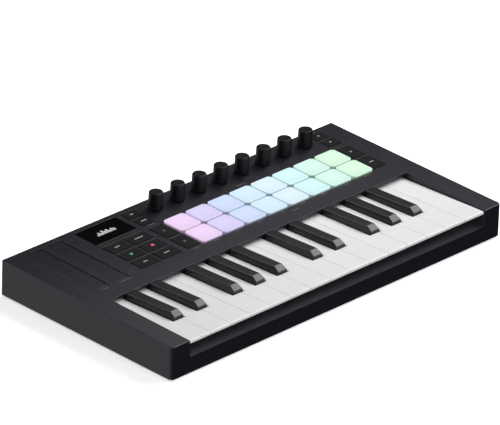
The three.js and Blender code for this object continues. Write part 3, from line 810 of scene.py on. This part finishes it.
def build_legends():
    pitch_x, modulation_x, pair_x, pads_x = (
        panel_box(node)[0].x
        for node in ("pitch_strip", "modulation_strip", "settings_button", "pad_mat")
    )
    build_legend("pitch", pitch_x, 7.2 * MM, 5.5 * MM)
    build_legend("modulation", modulation_x, 7.2 * MM, 11 * MM)
    build_legend("upper_pair", pair_x, 55.6 * MM, 6 * MM)
    build_legend("lower_pair", pair_x, 9.2 * MM, 6 * MM)
    build_legend("knob_row", pads_x - 3 * MM, 58.2 * MM, 8 * MM)
    build_legend("pad_row", pads_x, 4.6 * MM, 7 * MM)
    pads = panel_box("pad_mat")[0]
    for column in range(len(PAD_COLOURS)):
        x = pad_column(pads, column)
        build_legend(f"pad_{column + 1}", x, 8.4 * MM, 5 * MM, 0.6 * MM)


# ---- Screws in the underside ----
SCREW_INSET = 5.8 * MM
SCREW_ROWS = (-74 * MM, 4 * MM, 77 * MM)
MIDDLE_SCREW = (20 * MM, 80.6 * MM)
SCREW_PROFILE = [
    (0.4 * MM, 1.1 * MM), (1.3 * MM, 1.1 * MM), (1.3 * MM, 1.9 * MM), (1.55 * MM, 1.9 * MM),
    (1.6 * MM, 1.8 * MM), (1.6 * MM, 0.6 * MM), (1.4 * MM, 0.35 * MM), (0.9 * MM, 0.3 * MM),
    (0.5 * MM, 0.9 * MM),
]


def build_screws():
    low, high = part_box("bottom_case")
    columns = (low.x + SCREW_INSET, high.x - SCREW_INSET)
    places = [(x, y) for x in columns for y in SCREW_ROWS] + [MIDDLE_SCREW]
    for i, (x, y) in enumerate(places):
        place = Matrix.Translation(Vector((x, y, low.z)))
        lathed(f"case_screw_{i + 1}", SCREW_PROFILE, 32, place, SCREW, CASING)


# ---- Camera, light and floor ----
CAMERA_AZIMUTH = math.radians(-45.59)
CAMERA_ELEVATION = math.radians(26.95)
CAMERA_ROLL = math.radians(1.75)
CAMERA_DISTANCE = 4.413
CAMERA_LENS = 446.0
CAMERA_OFFSET = (-2.42 * MM, 36.8 * MM)

LIGHTS = [  # name, place, size, watts
    ("left_front_box", (-1.4, -1.4, 1.2), (1.0, 1.0), 9),
    ("left_back_box", (-1.0, 1.37, 1.4), (0.9, 0.9), 9),
    ("front_box", (-0.2, -2.1, 0.6), (1.4, 0.5), 22),
    ("right_box", (1.42, 0.15, 1.7), (1.3, 1.3), 26),
    ("right_front_box", (1.45, -1.05, 1.42), (1.1, 1.1), 18),
    ("overhead_box", (0.0, -0.4, 2.2), (1.2, 1.2), 3),
]
LIT_POINT = (0, 0, 0.02)
SHEEN_PLACE = (0.155, 0.105, 0.24)
SHEEN_TARGET = (0.155, 0.1051, 0)
BRIGHT_SIDE = (-0.637, 0.5, -0.55)
WORLD_LEVELS = (0.02, 0.70)  # away from the bright side, and towards it
FLOOR_HALF = 6.0
FLOOR_DROP = -0.05 * MM  # clear of the feet, so the two faces don't fight
FLOOR_GLOW = 0.5


def build_camera():
    a, e = CAMERA_AZIMUTH, CAMERA_ELEVATION
    back = Vector((math.sin(a) * math.cos(e), -math.cos(a) * math.cos(e), math.sin(e)))
    level = Vector((math.cos(a), math.sin(a), 0))
    upright = back.cross(level)
    right = level * math.cos(CAMERA_ROLL) + upright * math.sin(CAMERA_ROLL)
    up = upright * math.cos(CAMERA_ROLL) - level * math.sin(CAMERA_ROLL)
    data = bpy.data.cameras.new("camera")
    data.lens = CAMERA_LENS
    data.sensor_width = 36
    data.clip_end = 100
    camera = bpy.data.objects.new("camera", data)
    scene.collection.objects.link(camera)
    base = Vector((0, 0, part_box("top_case")[0].z))
    across, along = CAMERA_OFFSET
    matrix = Matrix((right, up, back)).transposed().to_4x4()
    matrix.translation = base + back * CAMERA_DISTANCE + right * across + up * along
    camera.matrix_world = matrix
    scene.camera = camera


def area_light(name, place, size, power, target=LIT_POINT, seen=True):
    data = bpy.data.lights.new(name, "AREA")
    data.shape = "RECTANGLE"
    data.size, data.size_y = size
    data.energy = power
    light = bpy.data.objects.new(name, data)
    scene.collection.objects.link(light)
    light.location = place
    direction = Vector(target) - Vector(place)
    light.rotation_euler = direction.to_track_quat("-Z", "Y").to_euler()
    light.visible_camera = seen


def build_world():
    """A dim studio, brighter low on the left, where a white sweep would be."""
    world = bpy.data.worlds.new("studio")
    world.use_nodes = True
    tree = world.node_tree
    coordinates = tree.nodes.new("ShaderNodeTexCoord")
    toward = tree.nodes.new("ShaderNodeVectorMath")
    toward.operation = "DOT_PRODUCT"
    toward.inputs[1].default_value = Vector(BRIGHT_SIDE).normalized()
    tree.links.new(coordinates.outputs["Generated"], toward.inputs[0])
    level = tree.nodes.new("ShaderNodeMapRange")
    level.interpolation_type = "SMOOTHSTEP"
    level.inputs["From Min"].default_value = 0.2
    level.inputs["From Max"].default_value = 0.8
    level.inputs["To Min"].default_value = WORLD_LEVELS[0]
    level.inputs["To Max"].default_value = WORLD_LEVELS[1]
    tree.links.new(toward.outputs["Value"], level.inputs["Value"])
    tree.links.new(level.outputs["Result"], tree.nodes["Background"].inputs["Color"])
    scene.world = world


def build_floor():
    """A pale floor that the camera sees and that throws no light back."""
    mesh = bpy.data.meshes.new("floor")
    signs = ((-1, -1), (1, -1), (1, 1), (-1, 1))
    corners = [(x * FLOOR_HALF, y * FLOOR_HALF, FLOOR_DROP) for x, y in signs]
    mesh.from_pydata(corners, [], [(0, 1, 2, 3)])
    floor = bpy.data.objects.new("floor", mesh)
    scene.collection.objects.link(floor)
    paint, node = shader("floor_paint", (0.9, 0.9, 0.9), 0.9)
    node.inputs["Emission Color"].default_value = (1, 1, 1, 1)
    node.inputs["Emission Strength"].default_value = FLOOR_GLOW
    uneven_gloss(paint, node, 6, 2, 0.85, 0.95)
    mesh.materials.append(paint)
    floor.visible_diffuse = False
    floor.visible_glossy = False


def build_studio():
    build_floor()
    build_world()
    for name, place, size, watts in LIGHTS:
        area_light(name, place, size, watts)
    area_light("sheen_box", SHEEN_PLACE, (0.41, 0.25), 0.27, target=SHEEN_TARGET, seen=False)
    scene.view_settings.view_transform = "Standard"


# ---- The whole object ----
CAD_MATERIALS = {
    "bottom_case": BASE,
    "key_chassis": CHASSIS,
    "circuit_board": board_enamel(),
    "usb_socket": STEEL,
    "midi_out_jack": JACK,
    "sustain_jack": JACK,
    "front_foot": FOOT,
    "rear_foot": FOOT,
}

build_camera()
build_casing()
for key in WHITE_KEYS:
    build_white_key(key)
for key in BLACK_KEYS:
    build_black_key(key)
for button in BUTTONS:
    build_button(button)
for button in BUTTON_MARKS:
    build_button_mark(button)
build_pads()
build_knobs()
build_screen()
build_strips()
build_legends()
build_screws()
for cad_node, cad_material in CAD_MATERIALS.items():
    use_material(cad_node, cad_material)
build_studio()
